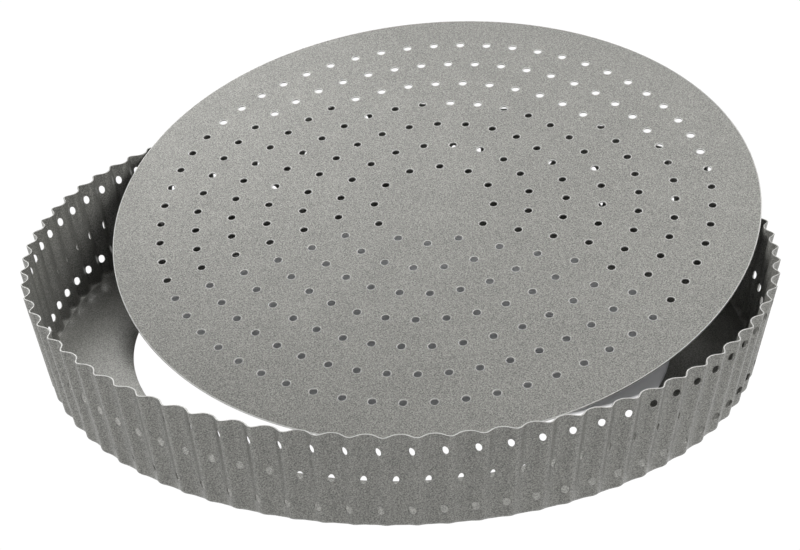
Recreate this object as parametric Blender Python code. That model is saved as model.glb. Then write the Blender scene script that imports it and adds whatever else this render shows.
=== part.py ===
"""Loose-bottom fluted tart pan with punched holes, its base leaning in its ring.

Two pressed steel sheets: a fluted ring whose wall turns in to a flat ledge round a large
opening, and a round perforated base that lifts out. The base stands with its front edge
on the table inside the ledge's opening, and its underside rests on the rim at two points.
"""

import math

import bpy
import bmesh
from mathutils import Matrix, Vector
from mathutils.geometry import delaunay_2d_cdt

# ---- Driving dimensions: metres, and degrees where the name says so ----

SHEET = 0.0006                 # thickness of both sheets
WALL_HEIGHT = 0.0418           # table to rim
FLUTES = 80
COLUMNS_PER_FLUTE = 6
FOOT_RADIUS = 0.1407           # mean radius of the wall sheet's middle, at the table
RIM_RADIUS = 0.1485            # the same, at the rim
FOOT_FLUTE = 0.0016            # depth of a flute from crease to crest, at the table
RIM_FLUTE = 0.0027             # the same, at the rim
CREST_DEG = 1.8                # direction of one flute's crest, from +X
OPENING_RADIUS = 0.1083
OPENING_OFFSET_X = 0.0008      # the opening's centre from the ring's axis
OPENING_OFFSET_Y = -0.0024
OPENING_SIDES = 120

WALL_HOLE_RADIUS = 0.0019
WALL_HOLE_BEFORE_CREST_DEG = 0.7
LOWER_HOLES_Z = 0.0081
MIDDLE_HOLES_Z = 0.0215
UPPER_HOLES_Z = 0.0350

BASE_RADIUS = 0.1349
BASE_SIDES = 120
BASE_CROWN_ALONG = 0.0034      # fall of the base's edge below its centre, along its own Y
BASE_CROWN_ACROSS = 0.0011     # the same, along its own X
BASE_HOLE_RADIUS = 0.0016
BASE_HOLE_SIDES = 6
HOLE_RINGS = 7
FIRST_HOLE_RING_RADIUS = 0.025
HOLE_RING_PITCH = 0.015
FIRST_HOLE_RING_COUNT = 12
HOLE_RING_COUNT_STEP = 8
HOLE_RING_START = 0.34         # first hole of the inmost ring, as a share of its hole spacing
HOLE_RING_TURN = 0.108         # each ring starts this much of a spacing earlier than the last

LEAN_DEG = 15.3                # the base's slope, rising towards +Y
LEAN_OFFSET_Y = 0.0464         # base's centre from the ring's axis

COATING = (0.30, 0.30, 0.285, 1.0)
COATING_ROUGHNESS = 0.45
COATING_METALLIC = 0.6
SHARP_EDGE_DEG = 50.0


def clear_scene():
    for old in list(bpy.data.objects):
        bpy.data.objects.remove(old, do_unlink=True)


def coating_material(name):
    material = bpy.data.materials.new(name)
    material.use_nodes = True
    shader = material.node_tree.nodes["Principled BSDF"]
    shader.inputs["Base Color"].default_value = COATING
    shader.inputs["Roughness"].default_value = COATING_ROUGHNESS
    shader.inputs["Metallic"].default_value = COATING_METALLIC
    return material


def mesh_object(name, bm, material_name):
    mesh = bpy.data.meshes.new(name)
    bm.to_mesh(mesh)
    bm.free()
    mesh.shade_smooth()
    mesh.set_sharp_from_angle(angle=math.radians(SHARP_EDGE_DEG))
    mesh.materials.append(coating_material(material_name))
    obj = bpy.data.objects.new(name, mesh)
    bpy.context.scene.collection.objects.link(obj)
    return obj


# ---- Fluted ring ----

COLUMNS = FLUTES * COLUMNS_PER_FLUTE
COLUMN_STEP = math.tau / COLUMNS
CREST = math.radians(CREST_DEG)
FIRST_COLUMN = CREST - math.radians(WALL_HOLE_BEFORE_CREST_DEG)
MIDDLE_HOLE_COLUMN = COLUMNS_PER_FLUTE // 2


def wall_radius(angle, z):
    rise = z / WALL_HEIGHT
    mean = FOOT_RADIUS + (RIM_RADIUS - FOOT_RADIUS) * rise
    half_depth = (FOOT_FLUTE + (RIM_FLUTE - FOOT_FLUTE) * rise) / 2
    return mean + half_depth * math.cos(FLUTES * (angle - CREST))


def wall_slope(angle, z):
    """How fast the radius changes with the angle."""
    half_depth = (FOOT_FLUTE + (RIM_FLUTE - FOOT_FLUTE) * z / WALL_HEIGHT) / 2
    return -half_depth * FLUTES * math.sin(FLUTES * (angle - CREST))


def wall_point(column, z, side):
    """A point on the wall's outer skin (side 1) or inner skin (side -1)."""
    angle = FIRST_COLUMN + column * COLUMN_STEP
    radius = wall_radius(angle, z)
    outward = Vector((math.cos(angle), math.sin(angle), 0.0))
    along = Vector((-math.sin(angle), math.cos(angle), 0.0))
    normal = (outward * radius - along * wall_slope(angle, z)).normalized()
    return outward * radius + normal * (side * SHEET / 2) + Vector((0.0, 0.0, z))


def column_heights(column, foot_z):
    """Heights of a column's points: its foot, the edges of its holes, and the rim."""
    place = column % COLUMNS_PER_FLUTE
    from_hole = min(place, COLUMNS_PER_FLUTE - place)
    if from_hole <= 1:
        centres = (LOWER_HOLES_Z, UPPER_HOLES_Z)
        reach = WALL_HOLE_RADIUS / (1 + from_hole)
    else:
        centres = (MIDDLE_HOLES_Z,)
        reach = WALL_HOLE_RADIUS / (1 + MIDDLE_HOLE_COLUMN - from_hole)
    edges = [centre + way * reach for centre in centres for way in (-1, 1)]
    return [foot_z] + edges + [WALL_HEIGHT]


def zip_columns(bm, left, right):
    """Fills between two columns of vertices, both listed from the bottom up."""
    i = 0
    j = 0
    while i + 1 < len(left) or j + 1 < len(right):
        can_left = i + 1 < len(left)
        can_right = j + 1 < len(right)
        if can_left and (not can_right or left[i + 1].co.z <= right[j + 1].co.z):
            bm.faces.new((left[i], right[j], left[i + 1]))
            i += 1
        else:
            bm.faces.new((left[i], right[j], right[j + 1]))
            j += 1


def wall_skin(bm, side):
    """One skin of the wall, as columns of vertices with the holes left open."""
    foot_z = 0.0 if side > 0 else SHEET
    columns = [
        [bm.verts.new(wall_point(column, z, side)) for z in column_heights(column, foot_z)]
        for column in range(COLUMNS)
    ]
    for column in range(COLUMNS):
        pair = [columns[column], columns[(column + 1) % COLUMNS]]
        if side < 0:
            pair.reverse()
        left, right = pair
        if len(left) != len(right):
            zip_columns(bm, left, right)
            continue
        for k in range(0, len(left), 2):
            zip_columns(bm, left[k:k + 2], right[k:k + 2])
    return columns


def wall_hole_sides(bm, outer, inner):
    """The cut edge of every punched hole, from the outer skin to the inner one."""
    for column in range(0, COLUMNS, MIDDLE_HOLE_COLUMN):
        for k in range(1, len(outer[column]) - 2, 2):
            before = (column - 1) % COLUMNS
            after = (column + 1) % COLUMNS
            loop = [(before, k), (column, k), (after, k)]
            loop += [(after, k + 1), (column, k + 1), (before, k + 1)]
            for (ca, ka), (cb, kb) in zip(loop, loop[1:] + loop[:1]):
                bm.faces.new((outer[ca][ka], outer[cb][kb], inner[cb][kb], inner[ca][ka]))


def ledge_skin(bm, wall_foot, z, facing_up):
    """A flat skin from the wall's foot in to the opening; returns the opening's vertices."""
    opening = []
    for k in range(OPENING_SIDES):
        angle = FIRST_COLUMN + k * math.tau / OPENING_SIDES
        x = OPENING_OFFSET_X + OPENING_RADIUS * math.cos(angle)
        y = OPENING_OFFSET_Y + OPENING_RADIUS * math.sin(angle)
        opening.append(bm.verts.new((x, y, z)))
    per_side = COLUMNS // OPENING_SIDES
    for k in range(OPENING_SIDES):
        near = opening[k]
        far = opening[(k + 1) % OPENING_SIDES]
        foot = [wall_foot[(k * per_side + m) % COLUMNS] for m in range(per_side + 1)]
        half = per_side // 2
        faces = [(foot[m], foot[m + 1], near if m < half else far) for m in range(per_side)]
        faces.append((near, foot[half], far))
        for face in faces:
            bm.faces.new(face if facing_up else tuple(reversed(face)))
    return opening


def join_loops(bm, outer_loop, inner_loop):
    """Quads from one closed loop to another; they face up when the first loop is the outer."""
    count = len(outer_loop)
    for k in range(count):
        after = (k + 1) % count
        bm.faces.new((outer_loop[k], outer_loop[after], inner_loop[after], inner_loop[k]))


def make_ring():
    bm = bmesh.new()
    outer = wall_skin(bm, 1)
    inner = wall_skin(bm, -1)
    wall_hole_sides(bm, outer, inner)
    join_loops(bm, [column[-1] for column in outer], [column[-1] for column in inner])
    under = ledge_skin(bm, [column[0] for column in outer], 0.0, False)
    top = ledge_skin(bm, [column[0] for column in inner], SHEET, True)
    join_loops(bm, top, under)
    return mesh_object("fluted_ring", bm, "ring_coating")


# ---- Perforated base ----


def hole_centres():
    for ring in range(HOLE_RINGS):
        radius = FIRST_HOLE_RING_RADIUS + ring * HOLE_RING_PITCH
        count = FIRST_HOLE_RING_COUNT + ring * HOLE_RING_COUNT_STEP
        start = HOLE_RING_START - ring * HOLE_RING_TURN
        for k in range(count):
            angle = (start + k) * math.tau / count
            yield radius * math.cos(angle), radius * math.sin(angle), angle


def base_outline():
    """The base seen from above: points, and closed loops of point numbers, outline first."""
    points = []
    loops = []

    def add_loop(x, y, radius, sides, turn):
        first = len(points)
        for k in range(sides):
            angle = turn + k * math.tau / sides
            points.append(Vector((x + radius * math.cos(angle), y + radius * math.sin(angle))))
        loops.append(list(range(first, first + sides)))

    add_loop(0.0, 0.0, BASE_RADIUS, BASE_SIDES, 0.0)
    for x, y, angle in hole_centres():
        add_loop(x, y, BASE_HOLE_RADIUS, BASE_HOLE_SIDES, angle)
    return points, loops


def crown(point):
    along = point.y / BASE_RADIUS
    across = point.x / BASE_RADIUS
    return -BASE_CROWN_ALONG * along ** 2 - BASE_CROWN_ACROSS * across ** 2


def make_base():
    points, loops = base_outline()
    loop_of = {number: k for k, loop in enumerate(loops) for number in loop}
    edges = [pair for loop in loops for pair in zip(loop, loop[1:] + loop[:1])]
    placed, _, faces, origins, _, _ = delaunay_2d_cdt(points, edges, [], 1, 1e-7)
    number_of = [origin[0] for origin in origins]

    bm = bmesh.new()
    top = {}
    under = {}
    for point, number in zip(placed, number_of):
        z = crown(point)
        top[number] = bm.verts.new((point.x, point.y, z))
        under[number] = bm.verts.new((point.x, point.y, z - SHEET))
    for face in faces:
        numbers = [number_of[k] for k in face]
        owners = {loop_of[number] for number in numbers}
        if len(owners) == 1 and owners != {0}:
            continue                       # this face would close a hole
        bm.faces.new([top[number] for number in numbers])
        bm.faces.new([under[number] for number in reversed(numbers)])
    for loop in loops:
        for a, b in zip(loop, loop[1:] + loop[:1]):
            bm.faces.new((top[a], top[b], under[b], under[a]))
    bmesh.ops.recalc_face_normals(bm, faces=bm.faces)
    return mesh_object("perforated_base", bm, "base_coating")


# ---- Assembly ----


def world_points(obj):
    return [obj.matrix_world @ vertex.co for vertex in obj.data.vertices]


def lean_base(base):
    """Tilts the base and stands its lowest edge on the table."""
    base.matrix_world = Matrix.Rotation(math.radians(LEAN_DEG), 4, "X")
    lowest = min(point.z for point in world_points(base))
    base.matrix_world = Matrix.Translation((0.0, LEAN_OFFSET_Y, -lowest)) @ base.matrix_world


def centre_footprint(objects):
    """Moves the pan so that the origin is the middle of its footprint, on the table."""
    points = [point for obj in objects for point in world_points(obj)]
    middle_x = (min(p.x for p in points) + max(p.x for p in points)) / 2
    middle_y = (min(p.y for p in points) + max(p.y for p in points)) / 2
    shift = Matrix.Translation((-middle_x, -middle_y, 0.0))
    for obj in objects:
        obj.matrix_world = shift @ obj.matrix_world


def main():
    clear_scene()
    ring = make_ring()
    base = make_base()
    lean_base(base)
    centre_footprint([ring, base])


main()
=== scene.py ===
"""Looks of the loose-bottom fluted tart pan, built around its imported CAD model.

Both CAD sheets are replaced by finely meshed ones. The ring has oval punched holes, a curved foot
and rounded cut edges. The base has round holes and a slight crown.
"""

import math

import bpy
import numpy as np
from mathutils import Matrix, Vector
from mathutils.geometry import delaunay_2d_cdt


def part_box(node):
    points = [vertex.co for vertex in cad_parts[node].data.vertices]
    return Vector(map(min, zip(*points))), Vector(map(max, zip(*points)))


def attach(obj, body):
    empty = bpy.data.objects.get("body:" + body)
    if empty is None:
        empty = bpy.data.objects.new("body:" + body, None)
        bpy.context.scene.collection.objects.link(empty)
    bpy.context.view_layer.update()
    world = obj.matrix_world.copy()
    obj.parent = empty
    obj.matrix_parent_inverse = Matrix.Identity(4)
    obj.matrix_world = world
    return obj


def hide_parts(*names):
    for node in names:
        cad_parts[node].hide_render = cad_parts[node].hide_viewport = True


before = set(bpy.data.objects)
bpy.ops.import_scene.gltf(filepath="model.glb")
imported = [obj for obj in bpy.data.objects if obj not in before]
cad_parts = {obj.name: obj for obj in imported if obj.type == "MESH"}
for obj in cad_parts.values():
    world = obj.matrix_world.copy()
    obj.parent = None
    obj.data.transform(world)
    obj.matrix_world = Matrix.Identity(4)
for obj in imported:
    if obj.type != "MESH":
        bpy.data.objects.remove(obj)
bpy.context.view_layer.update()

# ---- Sizes, in metres, and degrees where the name says so ----

SHEET = 0.0006                 # thickness of both sheets
CUT_ROUNDING = 0.00012         # how far a cut edge is rounded off

FLUTES = 80
CREST_DEG = 1.8                # direction of one flute's crest, from +X
FOOT_RADIUS = 0.1407           # mean radius of the wall sheet's middle, at the table
RIM_RADIUS = 0.1485            # the same, at the rim
FOOT_FLUTE = 0.0016            # depth of a flute from crease to crest, at the table
RIM_FLUTE = 0.0027             # the same, at the rim
FLUTE_SHARPNESS = 0.16         # how narrow the crests are, and how broad the creases
OPENING_RADIUS = 0.1083
OPENING_OFFSET = np.array([0.0008, -0.0024, 0.0])   # its centre from the ring's axis
BEND_RADIUS = 0.0024           # the sheet's turn from the wall into the ledge
BEND_GROWTH = 0.00125          # how much wider the turn is below a crest than in the mean
BEND_STEPS = 5

WALL_HOLE_BEFORE_CREST_DEG = 0.7   # from a hole of the upper or lower row to the crest
WALL_HOLES = [                 # share of the flute's width, height, half width, half height
    (0.25, 0.0081, 0.00140, 0.00170),
    (0.75, 0.0215, 0.00118, 0.00175),
    (0.25, 0.0350, 0.00105, 0.00175),
]
WALL_HOLE_SIDES = 18
COLUMNS_PER_FLUTE = 16
WALL_ROWS = 15

BASE_RADIUS = 0.1349
BASE_CROWN_ALONG = 0.0034      # fall of the base's edge below its centre, along its own Y
BASE_CROWN_ACROSS = 0.0011     # the same, along its own X
BASE_HOLE_RADIUS = 0.0016
BASE_HOLE_SIDES = 24
BASE_EDGE_SIDES = 480
HOLE_RINGS = 7
FIRST_HOLE_RING_RADIUS = 0.025
HOLE_RING_PITCH = 0.015
FIRST_HOLE_RING_COUNT = 12
HOLE_RING_COUNT_STEP = 8
HOLE_RING_START = 0.34
HOLE_RING_TURN = 0.108
FILL_SIDES = 12                # points on the inmost plain circle that fills out the base's mesh
LEAN_DEG = 15.3                # the base's slope, rising towards +Y

HOLE_GUARD = 0.0005            # width of the even band of faces round a hole
GRID_GAP = 0.00085             # how near a hole the wall's even grid of points comes
HOLE_LIP_HIGHLIGHT = 0.80          # painted highlight round a base hole: how far its light colour shows on the top skin
WALL_HOLE_SIDE_HIGHLIGHT = 0.25          # painted highlight: how light the sides of the wall's holes are painted
RIM_EDGE_HIGHLIGHT = 0.78           # painted highlight: how light the rim's cut edge is painted

# ---- Places, from the frame ----

ring_low, ring_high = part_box("fluted_ring")
base_low, base_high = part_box("perforated_base")
ring_centre = Vector(((ring_low.x + ring_high.x) / 2, (ring_low.y + ring_high.y) / 2, ring_low.z))
WALL_HEIGHT = ring_high.z - ring_low.z
PITCH = math.tau / FLUTES
CREST = math.radians(CREST_DEG)
CELL_START = CREST - math.radians(WALL_HOLE_BEFORE_CREST_DEG) - PITCH / 4
WALL_LEAN = math.atan2(RIM_RADIUS - FOOT_RADIUS, WALL_HEIGHT)
BEND_TURN = math.pi / 2 - WALL_LEAN
BEND_TOP_Z = SHEET / 2 + BEND_RADIUS * (1 - math.cos(BEND_TURN))


class SheetMesh:
    """Points with their own normals, and faces, gathered piece by piece and welded at the end."""

    WELD = 2e-6                # points nearer than this become one

    def __init__(self):
        self.points = []
        self.normals = []
        self.edge_lights = []
        self.faces = []
        self.count = 0

    def add(self, points, normals, edge_light=0.0):
        """Adds points; the last argument is their share of the painted highlight that lightens
        cut edges, 1 on a cut edge. Returns the points' numbers.
        """
        points = np.asarray(points, float)
        numbers = np.arange(self.count, self.count + points[..., 0].size)
        self.points.append(points.reshape(-1, 3))
        self.edge_lights.append(np.broadcast_to(edge_light, numbers.shape))
        self.normals.append(np.asarray(normals, float).reshape(-1, 3))
        self.count += numbers.size
        return numbers.reshape(points.shape[:-1])

    def strip(self, first, second):
        """Quads between two closed loops of point numbers."""
        after_first = np.roll(first, -1)
        after_second = np.roll(second, -1)
        self.faces.extend(np.stack([first, after_first, after_second, second], 1).tolist())

    def build(self, name):
        points = np.concatenate(self.points)
        normals = np.concatenate(self.normals)
        keys = np.round(points / self.WELD).astype(np.int64)
        _, kept, number = np.unique(keys, axis=0, return_index=True, return_inverse=True)
        number = number.reshape(-1)
        faces = []
        for face in self.faces:
            welded = [int(number[k]) for k in face]
            corners = [k for i, k in enumerate(welded) if k != welded[i - 1]]
            if len(corners) > 2:
                faces.append(corners)
        mesh = bpy.data.meshes.new(name)
        mesh.from_pydata(points[kept].tolist(), [], faces)
        mesh.shade_smooth()
        mesh.normals_split_custom_set_from_vertices(normals[kept].tolist())
        # the painted highlight of the cut edges goes into the mesh as a point attribute
        edge_light = mesh.attributes.new("edge_light", "FLOAT", "POINT")
        edge_light.data.foreach_set("value", np.concatenate(self.edge_lights)[kept])
        mesh.update()
        piece = bpy.data.objects.new(name, mesh)
        bpy.context.scene.collection.objects.link(piece)
        return piece


def unit(vectors):
    return vectors / np.linalg.norm(vectors, axis=-1, keepdims=True)


def surface_normal(surface, a, b, step=1e-5):
    """The unit normal of surface(a, b): the cross product of its two slopes."""
    along_a = surface(a + step, b) - surface(a - step, b)
    along_b = surface(a, b + step) - surface(a, b - step)
    return unit(np.cross(along_a, along_b))


# ---- Fluted ring ----


def flute_wave(angle):
    """From -1 in a crease to 1 on a crest."""
    turn = FLUTES * (angle - CREST)
    return np.cos(turn) + FLUTE_SHARPNESS * (np.cos(2 * turn) - 1)


def wall_radius(angle, z):
    rise = z / WALL_HEIGHT
    mean = FOOT_RADIUS + (RIM_RADIUS - FOOT_RADIUS) * rise
    half_depth = (FOOT_FLUTE + (RIM_FLUTE - FOOT_FLUTE) * rise) / 2
    return mean + half_depth * flute_wave(angle)


def polar(radius, angle, z):
    return np.stack([radius * np.cos(angle), radius * np.sin(angle), z + 0 * angle], -1)


def wall_middle(angle, z):
    """The middle of the wall's sheet; the slopes of angle and z give its outward normal."""
    return polar(wall_radius(angle, z), angle, z)


def bend_middle(angle, turn):
    """The middle of the sheet where it turns from the ledge (turn 0) up into the wall."""
    reach = BEND_RADIUS + BEND_GROWTH * flute_wave(angle)
    radius = wall_radius(angle, BEND_TOP_Z) - reach * (math.sin(BEND_TURN) - np.sin(turn))
    height = SHEET / 2 + BEND_RADIUS * (1 - np.cos(turn))
    return polar(radius, angle, height)


def skin(surface, a, b, offset):
    """Points of one skin of a sheet, offset from its middle, with their outward normals."""
    normal = surface_normal(surface, a, b)
    way = 1.0 if offset > 0 else -1.0
    return surface(a, b) + normal * offset, normal * way


def ellipse(centre, half_width, half_height, sides):
    turns = [k * math.tau / sides for k in range(sides)]
    return [
        (centre[0] + half_width * math.cos(t), centre[1] + half_height * math.sin(t))
        for t in turns
    ]


def triangulate(points, loops, tolerance=1e-9):
    """Triangles over the points inside the first loop, leaving open every other loop."""
    vectors = [Vector(p) for p in points]
    edges = [pair for loop in loops for pair in zip(loop, loop[1:] + loop[:1])]
    owner = {number: k for k, loop in enumerate(loops) if k for number in loop}
    _, _, faces, origins, _, _ = delaunay_2d_cdt(vectors, edges, [], 1, tolerance)
    number_of = [origin[0] for origin in origins]
    triangles = []
    for face in faces:
        numbers = [number_of[k] for k in face]
        owners = {owner.get(number, 0) for number in numbers}
        if len(owners) > 1 or owners == {0}:
            triangles.append(numbers)
    return np.array(triangles)


def wall_cell(low, high):
    """One flute's piece of wall, flat: its points in metres, triangles and hole loops."""
    width = PITCH * (FOOT_RADIUS + RIM_RADIUS) / 2
    holes = [((share * width, z), (half_width + CUT_ROUNDING, half_height + CUT_ROUNDING))
             for share, z, half_width, half_height in WALL_HOLES]
    heights = np.linspace(low, high, WALL_ROWS)
    across = np.linspace(0.0, width, COLUMNS_PER_FLUTE + 1)
    points = [(x, low) for x in across]
    points += [(width, z) for z in heights[1:]]
    points += [(x, high) for x in across[-2::-1]]
    points += [(0.0, z) for z in heights[-2:0:-1]]
    loops = [list(range(len(points)))]
    for centre, halves in holes:
        first = len(points)
        points += ellipse(centre, *halves, WALL_HOLE_SIDES)
        loops.append(list(range(first, len(points))))
    for centre, halves in holes:
        points += ellipse(centre, *(half + HOLE_GUARD for half in halves), WALL_HOLE_SIDES)

    def clear_of_holes(x, z):
        return all(
            math.hypot((x - centre[0]) / (halves[0] + GRID_GAP),
                       (z - centre[1]) / (halves[1] + GRID_GAP)) > 1
            for centre, halves in holes
        )

    points += [(x, z) for x in across[1:-1] for z in heights[1:-1] if clear_of_holes(x, z)]
    return np.array(points), triangulate(points, loops), loops[1:], width


def add_wall(mesh, low, high):
    """Both skins of the wall and the sides of its holes; returns the skins' end loops."""
    points, triangles, hole_loops, width = wall_cell(low, high)
    starts = CELL_START + PITCH * np.arange(FLUTES)
    angles = starts[:, None] + points[None, :, 0] / width * PITCH
    heights = np.broadcast_to(points[None, :, 1], angles.shape)
    skins = {}
    for way in (1, -1):
        numbers = mesh.add(*skin(wall_middle, angles, heights, way * SHEET / 2))
        skins[way] = numbers
        order = triangles if way > 0 else triangles[:, ::-1]
        mesh.faces.extend(numbers[:, order].reshape(-1, 3).tolist())
    for loop, (share, z, *halves) in zip(hole_loops, WALL_HOLES):
        edge = np.array(ellipse((share * width, z), *halves, WALL_HOLE_SIDES))
        edge_angles = starts[:, None] + edge[None, :, 0] / width * PITCH
        edge_heights = np.broadcast_to(edge[None, :, 1], edge_angles.shape)
        middle = wall_middle(edge_angles, edge_heights)
        normal = surface_normal(wall_middle, edge_angles, edge_heights)
        inward = unit(middle.mean(1, keepdims=True) - middle)
        depth = SHEET / 2 - CUT_ROUNDING
        # the sides of the wall's holes get a weak painted highlight
        near = mesh.add(middle + normal * depth, inward, WALL_HOLE_SIDE_HIGHLIGHT)
        far = mesh.add(middle - normal * depth, inward, WALL_HOLE_SIDE_HIGHLIGHT)
        for flute in range(FLUTES):
            rows = [skins[1][flute][loop], near[flute], far[flute], skins[-1][flute][loop]]
            for above, below in zip(rows, rows[1:]):
                mesh.strip(above, below)


def make_ring():
    mesh = SheetMesh()
    angles = CELL_START + PITCH * np.arange(FLUTES * COLUMNS_PER_FLUTE) / COLUMNS_PER_FLUTE
    top_z = WALL_HEIGHT - CUT_ROUNDING
    add_wall(mesh, BEND_TOP_Z, top_z)

    half = SHEET / 2
    inset = half - CUT_ROUNDING

    def wall_loop(z, offset):
        return mesh.add(*skin(wall_middle, angles, z + 0 * angles, offset))

    def bend_loop(turn, offset):
        return mesh.add(*skin(bend_middle, angles, turn + 0 * angles, offset))

    def rim_loop(offset):
        points, _ = skin(wall_middle, angles, WALL_HEIGHT + 0 * angles, offset)
        up = wall_middle(angles, WALL_HEIGHT + 0 * angles)
        up = unit(up - wall_middle(angles, top_z + 0 * angles))
        # the rim's cut edge gets a painted highlight
        return mesh.add(points, up, RIM_EDGE_HIGHLIGHT)

    def opening_loop(radius, z, normal_in, normal_up):
        outward = polar(np.ones_like(angles), angles, 0.0)
        normal = outward * -normal_in + np.array([0.0, 0.0, normal_up])
        points = OPENING_OFFSET + polar(radius + 0 * angles, angles, z)
        # the opening's cut face gets a painted highlight where it faces inward
        return mesh.add(points, normal, normal_in)

    turns = np.linspace(BEND_TURN, 0.0, BEND_STEPS + 1)
    rows = [wall_loop(top_z, -half), rim_loop(-inset), rim_loop(inset), wall_loop(top_z, half)]
    under = [wall_loop(BEND_TOP_Z, half)]
    under += [bend_loop(turn, half) for turn in turns[1:]]
    under.append(opening_loop(OPENING_RADIUS + CUT_ROUNDING, 0.0, 0.0, -1.0))
    under.append(opening_loop(OPENING_RADIUS, CUT_ROUNDING, 1.0, 0.0))
    under.append(opening_loop(OPENING_RADIUS, SHEET - CUT_ROUNDING, 1.0, 0.0))
    under.append(opening_loop(OPENING_RADIUS + CUT_ROUNDING, SHEET, 0.0, 1.0))
    under += [bend_loop(turn, -half) for turn in turns[:0:-1]]
    under.append(wall_loop(BEND_TOP_Z, -half))
    for loops in (rows, under):
        for above, below in zip(loops, loops[1:]):
            mesh.strip(below, above)
    ring = mesh.build("ring_sheet")
    ring.location = ring_centre
    return ring


# ---- Perforated base ----


def hole_centres():
    for ring in range(HOLE_RINGS):
        radius = FIRST_HOLE_RING_RADIUS + ring * HOLE_RING_PITCH
        count = FIRST_HOLE_RING_COUNT + ring * HOLE_RING_COUNT_STEP
        start = HOLE_RING_START - ring * HOLE_RING_TURN
        for k in range(count):
            angle = (start + k) * math.tau / count
            yield radius * math.cos(angle), radius * math.sin(angle)


def crowned(flat):
    """Lifts flat points on to the base's crown, and gives the normals there."""
    x = flat[..., 0]
    y = flat[..., 1]
    along = BASE_CROWN_ALONG / BASE_RADIUS ** 2
    across = BASE_CROWN_ACROSS / BASE_RADIUS ** 2
    points = np.stack([x, y, -along * y ** 2 - across * x ** 2], -1)
    normals = unit(np.stack([2 * across * x, 2 * along * y, np.ones_like(x)], -1))
    return points, normals


def base_outline():
    """Points seen from above, and the loops among them: the edge first, then the holes."""
    points = ellipse((0, 0), BASE_RADIUS - CUT_ROUNDING, BASE_RADIUS - CUT_ROUNDING,
                     BASE_EDGE_SIDES)
    loops = [list(range(len(points)))]
    centres = list(hole_centres())
    half = BASE_HOLE_RADIUS + CUT_ROUNDING
    for centre in centres:
        first = len(points)
        points += ellipse(centre, half, half, BASE_HOLE_SIDES)
        loops.append(list(range(first, len(points))))
    guard = half + HOLE_GUARD
    for centre in centres:
        points += ellipse(centre, guard, guard, BASE_HOLE_SIDES)
    edge_guard = BASE_RADIUS - CUT_ROUNDING - HOLE_GUARD
    points += ellipse((0, 0), edge_guard, edge_guard, BASE_EDGE_SIDES)
    plain_circles = np.arange(HOLE_RING_PITCH / 2, BASE_RADIUS, HOLE_RING_PITCH)
    for k, radius in enumerate(plain_circles):
        points += ellipse((0, 0), radius, radius, FILL_SIDES * (2 * k + 1))
    return points, loops, centres


def make_base():
    mesh = SheetMesh()
    points, loops, centres = base_outline()
    triangles = triangulate(points, loops)
    flat = np.array(points)
    top_points, top_normals = crowned(flat)
    # painted highlight on the top skin: full along the base's edge, weaker round each hole,
    # fading across the band of faces beside them
    lip_lights = np.zeros(len(points))
    lip_lights[loops[0]] = 1.0
    for loop in loops[1:]:
        lip_lights[loop] = HOLE_LIP_HIGHLIGHT
    top = mesh.add(top_points, top_normals, lip_lights)
    under = mesh.add(top_points - np.array([0, 0, SHEET]), -top_normals)
    mesh.faces.extend(top[triangles].tolist())
    mesh.faces.extend(under[triangles[:, ::-1]].tolist())

    def add_side(loop, centre, radius, way):
        """A cut edge from the top skin to the under one; way 1 faces away from the centre."""
        edge = np.array(ellipse(centre, radius, radius, len(loop)))
        outward = np.concatenate([edge - np.array(centre), np.zeros((len(loop), 1))], 1)
        normal = unit(outward) * way
        crown_points, _ = crowned(edge)
        # the cut sides are painted fully with the highlight
        upper = mesh.add(crown_points - np.array([0, 0, CUT_ROUNDING]), normal, 1.0)
        lower = mesh.add(crown_points - np.array([0, 0, SHEET - CUT_ROUNDING]), normal, 1.0)
        rows = [top[loop], upper, lower, under[loop]]
        for above, below in zip(rows, rows[1:]):
            pair = (below, above) if way > 0 else (above, below)
            mesh.strip(*pair)

    add_side(loops[0], (0.0, 0.0), BASE_RADIUS, 1)
    for loop, centre in zip(loops[1:], centres):
        add_side(loop, centre, BASE_HOLE_RADIUS, -1)
    base = mesh.build("base_sheet")
    tilt = Matrix.Rotation(math.radians(LEAN_DEG), 4, "X")
    low = np.array([(tilt @ v.co)[:] for v in base.data.vertices])
    drop = base_low - Vector(low.min(0))
    high = base_high - Vector(low.max(0))
    base.matrix_world = Matrix.Translation((drop + high) / 2) @ tilt
    return base


# ---- Materials ----

COATING_DARK = (0.070, 0.070, 0.064, 1.0)
COATING_LIGHT = (0.340, 0.338, 0.312, 1.0)
# colour of the painted highlight along cut edges
EDGE_HIGHLIGHT_COLOR = (0.62, 0.62, 0.60, 1.0)
EDGE_HIGHLIGHT_FADE_POWER = 1.5           # how fast the painted edge highlight fades away from the cut edges

GRAIN_TURN = (0.6, 0.5, 0.3)   # turns the noise off the sheets' plane, so that it shows no rings
GRAIN_SCALE = 2000.0           # noise cells to the metre
GRAIN_DETAIL = 1.0
GRAIN_TONES = (0.32, 0.68, 0.14, 0.86)      # noise from, to; share of the light colour from, to
GRAIN_ROUGHNESS = (0.3, 0.7, 0.50, 0.38)    # noise from, to; roughness from, to
GRAIN_METALLIC = (0.35, 0.65, 0.35, 0.65)   # noise from, to; metallic from, to
GRAIN_BUMP_STRENGTH = 0.25
GRAIN_BUMP_DISTANCE = 0.0001
MOTTLE_SCALE = 45.0
MOTTLE_DETAIL = 3.0
MOTTLE_TONES = (0.3, 0.7, -0.03, 0.03)      # noise from, to; change of that share from, to
COAT_WEIGHT = 0.25
COAT_ROUGHNESS = 0.25


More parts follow.
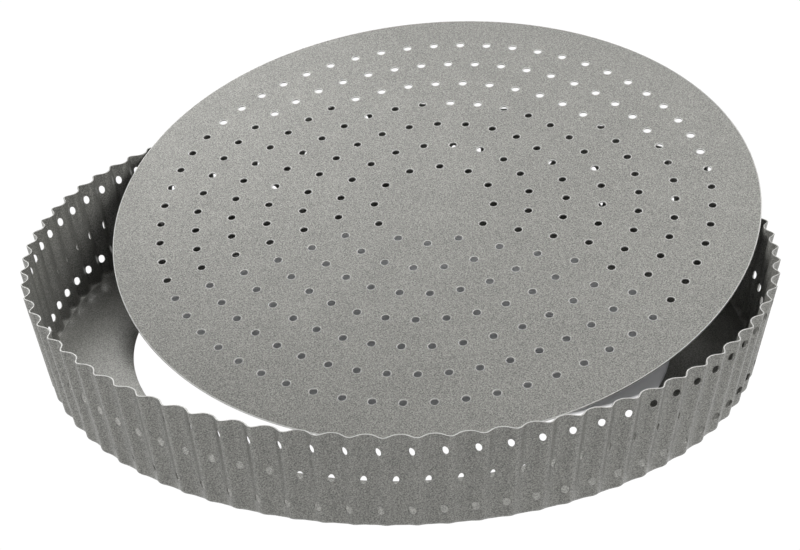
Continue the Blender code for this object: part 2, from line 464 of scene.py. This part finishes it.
class Nodes:
    """Short ways to add and join the nodes of one material."""

    def __init__(self, name):
        self.material = bpy.data.materials.new(name)
        self.material.use_nodes = True
        self.tree = self.material.node_tree
        self.shader = self.tree.nodes["Principled BSDF"]

    def node(self, kind, **settings):
        made = self.tree.nodes.new(kind)
        for key, value in settings.items():
            setattr(made, key, value)
        return made

    def feed(self, socket, value):
        if isinstance(value, bpy.types.NodeSocket):
            self.tree.links.new(value, socket)
        else:
            socket.default_value = value

    def noise(self, vector, scale, detail=2.0, roughness=0.5):
        made = self.node("ShaderNodeTexNoise")
        self.feed(made.inputs["Vector"], vector)
        self.feed(made.inputs["Scale"], scale)
        self.feed(made.inputs["Detail"], detail)
        self.feed(made.inputs["Roughness"], roughness)
        return made.outputs["Fac"]

    def span(self, value, low, high, to_low, to_high):
        made = self.node("ShaderNodeMapRange")
        made.clamp = True
        for key, number in zip(("Value", "From Min", "From Max", "To Min", "To Max"),
                               (value, low, high, to_low, to_high)):
            self.feed(made.inputs[key], number)
        return made.outputs["Result"]

    def math(self, operation, first, second=0.0):
        made = self.node("ShaderNodeMath", operation=operation)
        self.feed(made.inputs[0], first)
        self.feed(made.inputs[1], second)
        return made.outputs[0]

    def mix(self, share, first, second):
        made = self.node("ShaderNodeMix", data_type="RGBA")
        self.feed(made.inputs["Factor"], share)
        self.feed(made.inputs[6], first)
        self.feed(made.inputs[7], second)
        return made.outputs[2]


def coating(name):
    """Silver-grey non-stick coating: fine grain, faint clouds, a thin coat, and a painted
    highlight along the cut edges.
    """
    nodes = Nodes(name)
    turned = nodes.node("ShaderNodeMapping")
    nodes.feed(turned.inputs["Vector"], nodes.node("ShaderNodeTexCoord").outputs["Object"])
    nodes.feed(turned.inputs["Rotation"], GRAIN_TURN)
    place = turned.outputs["Vector"]
    grain = nodes.noise(place, GRAIN_SCALE, GRAIN_DETAIL)
    clouds = nodes.noise(place, MOTTLE_SCALE, MOTTLE_DETAIL)
    edge_light = nodes.node("ShaderNodeAttribute", attribute_name="edge_light").outputs["Fac"]
    tone = nodes.math("ADD", nodes.span(grain, *GRAIN_TONES), nodes.span(clouds, *MOTTLE_TONES))
    color = nodes.mix(tone, COATING_DARK, COATING_LIGHT)
    # painted highlight: cut edges are lightened towards the highlight colour
    edge_highlight_share = nodes.math("POWER", edge_light, EDGE_HIGHLIGHT_FADE_POWER)
    nodes.feed(nodes.shader.inputs["Base Color"], nodes.mix(edge_highlight_share, color, EDGE_HIGHLIGHT_COLOR))
    nodes.feed(nodes.shader.inputs["Roughness"], nodes.span(grain, *GRAIN_ROUGHNESS))
    nodes.feed(nodes.shader.inputs["Metallic"], nodes.span(grain, *GRAIN_METALLIC))
    nodes.feed(nodes.shader.inputs["Coat Weight"], COAT_WEIGHT)
    nodes.feed(nodes.shader.inputs["Coat Roughness"], COAT_ROUGHNESS)
    bump = nodes.node("ShaderNodeBump")
    nodes.feed(bump.inputs["Height"], grain)
    nodes.feed(bump.inputs["Strength"], GRAIN_BUMP_STRENGTH)
    nodes.feed(bump.inputs["Distance"], GRAIN_BUMP_DISTANCE)
    nodes.feed(nodes.shader.inputs["Normal"], bump.outputs["Normal"])
    return nodes.material


# ---- Stage ----

CAMERA_OFFSET = Vector((0.2591, -0.7953, 0.4493))   # from the ring's centre on the table
CAMERA_TURN_DEG = 18.06
CAMERA_DOWN_DEG = 26.69
CAMERA_ROLL_DEG = -1.14
CAMERA_LENS = 105.03
SENSOR = 36.0


def make_camera():
    data = bpy.data.cameras.new("camera")
    data.lens = CAMERA_LENS
    data.sensor_width = SENSOR
    camera = bpy.data.objects.new("camera", data)
    turn = Matrix.Rotation(math.radians(CAMERA_TURN_DEG), 4, "Z")
    pitch = Matrix.Rotation(math.radians(90 - CAMERA_DOWN_DEG), 4, "X")
    roll = Matrix.Rotation(math.radians(CAMERA_ROLL_DEG), 4, "Z")
    camera.matrix_world = Matrix.Translation(ring_centre + CAMERA_OFFSET) @ turn @ pitch @ roll
    bpy.context.scene.collection.objects.link(camera)
    bpy.context.scene.camera = camera


STAGE_SIZE = 12.0
FLOOR_Z = -0.0006
FLOOR_COLOR = (0.88, 0.88, 0.90, 1.0)
FLOOR_ROUGHNESS = 0.9
FLOOR_GLOW = 0.05
FLOOR_GLOW_COLOR = (0.95, 0.96, 1.0, 1.0)
BACKDROP_Z = -0.0004
BACKDROP_GLOW = 1.02
BLACK = (0.0, 0.0, 0.0, 1.0)
WHITE = (1.0, 1.0, 1.0, 1.0)
SHADE_OFFSET = Vector((0.005, 0.060, 0.0))   # middle of the base's shade, from the ring's centre
SHADE_RADIUS = 0.127
SHADE_LIMIT = 0.141            # the shade ends at the ring's wall
SHADE_BLUR = 0.02              # softness of its edge, as a share of its size


def make_plane(name, height, material):
    bpy.ops.mesh.primitive_plane_add(size=STAGE_SIZE, location=(0.0, 0.0, height))
    plane = bpy.context.object
    plane.name = name
    plane.data.materials.append(material)
    return plane


def make_floor():
    """A pale floor that takes the light, and over it a clean white sheet with a gap in it where
    the base shades the floor. The sheet shows only to the camera and in reflections."""
    nodes = Nodes("floor")
    nodes.feed(nodes.shader.inputs["Base Color"], FLOOR_COLOR)
    nodes.feed(nodes.shader.inputs["Roughness"], FLOOR_ROUGHNESS)
    nodes.feed(nodes.shader.inputs["Emission Color"], FLOOR_GLOW_COLOR)
    nodes.feed(nodes.shader.inputs["Emission Strength"], FLOOR_GLOW)
    make_plane("floor", FLOOR_Z, nodes.material)

    nodes = Nodes("backdrop")
    place = nodes.node("ShaderNodeTexCoord").outputs["Object"]

    def reach(centre, radius):
        distance = nodes.node("ShaderNodeVectorMath", operation="DISTANCE")
        nodes.feed(distance.inputs[0], place)
        nodes.feed(distance.inputs[1], centre)
        return nodes.math("DIVIDE", distance.outputs["Value"], radius)

    outside = nodes.math("MAXIMUM", reach(ring_centre + SHADE_OFFSET, SHADE_RADIUS),
                         reach(ring_centre, SHADE_LIMIT))
    nodes.feed(nodes.shader.inputs["Alpha"], nodes.span(outside, 1.0 - SHADE_BLUR, 1.0, 0.0, 1.0))
    nodes.feed(nodes.shader.inputs["Base Color"], BLACK)
    nodes.feed(nodes.shader.inputs["Specular IOR Level"], 0.0)
    nodes.feed(nodes.shader.inputs["Emission Color"], WHITE)
    nodes.feed(nodes.shader.inputs["Emission Strength"], BACKDROP_GLOW)
    backdrop = make_plane("backdrop", BACKDROP_Z, nodes.material)
    backdrop.visible_diffuse = False
    backdrop.visible_transmission = False
    backdrop.visible_shadow = False


LIGHT_DISTANCE = 1.6
WORLD_STRENGTH = 0.0           # the softboxes give all the light
STUDIO_LIGHTS = [              # direction from +X and height, in degrees; size; watts
    (0, 40, 0.9, 5.0),
    (45, 40, 0.9, 6.0),
    (90, 40, 0.9, 4.5),
    (135, 40, 0.9, 8.0),
    (180, 40, 0.9, 1.5),
    (75, 70, 0.9, 5.0),
    (145, 70, 0.9, 1.5),
    (180, 15, 0.7, 8.0),
    (225, 15, 0.7, 6.0),
    (315, 15, 0.7, 4.0),
    (0, 15, 0.7, 4.0),
]


def make_softbox(turn_deg, height_deg, size, power):
    name = f"softbox_{turn_deg}_{height_deg}"
    data = bpy.data.lights.new(name, "AREA")
    data.size = size
    data.energy = power
    light = bpy.data.objects.new(name, data)
    turn = math.radians(turn_deg)
    height = math.radians(height_deg)
    light.location = LIGHT_DISTANCE * Vector((
        math.cos(height) * math.cos(turn), math.cos(height) * math.sin(turn), math.sin(height)
    ))
    light.rotation_euler = (-light.location).to_track_quat("-Z", "Y").to_euler()
    bpy.context.scene.collection.objects.link(light)


def make_world(strength):
    world = bpy.data.worlds.new("studio")
    world.use_nodes = True
    background = world.node_tree.nodes["Background"]
    background.inputs["Color"].default_value = WHITE
    background.inputs["Strength"].default_value = strength
    bpy.context.scene.world = world


def main():
    ring = make_ring()
    ring.data.materials.append(coating("ring_coating"))
    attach(ring, "ring")
    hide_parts("fluted_ring")

    base = make_base()
    base.data.materials.append(coating("base_coating"))
    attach(base, "base")
    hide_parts("perforated_base")

    make_camera()
    make_floor()
    for softbox in STUDIO_LIGHTS:
        make_softbox(*softbox)
    make_world(WORLD_STRENGTH)
    bpy.context.scene.view_settings.view_transform = "Standard"


main()
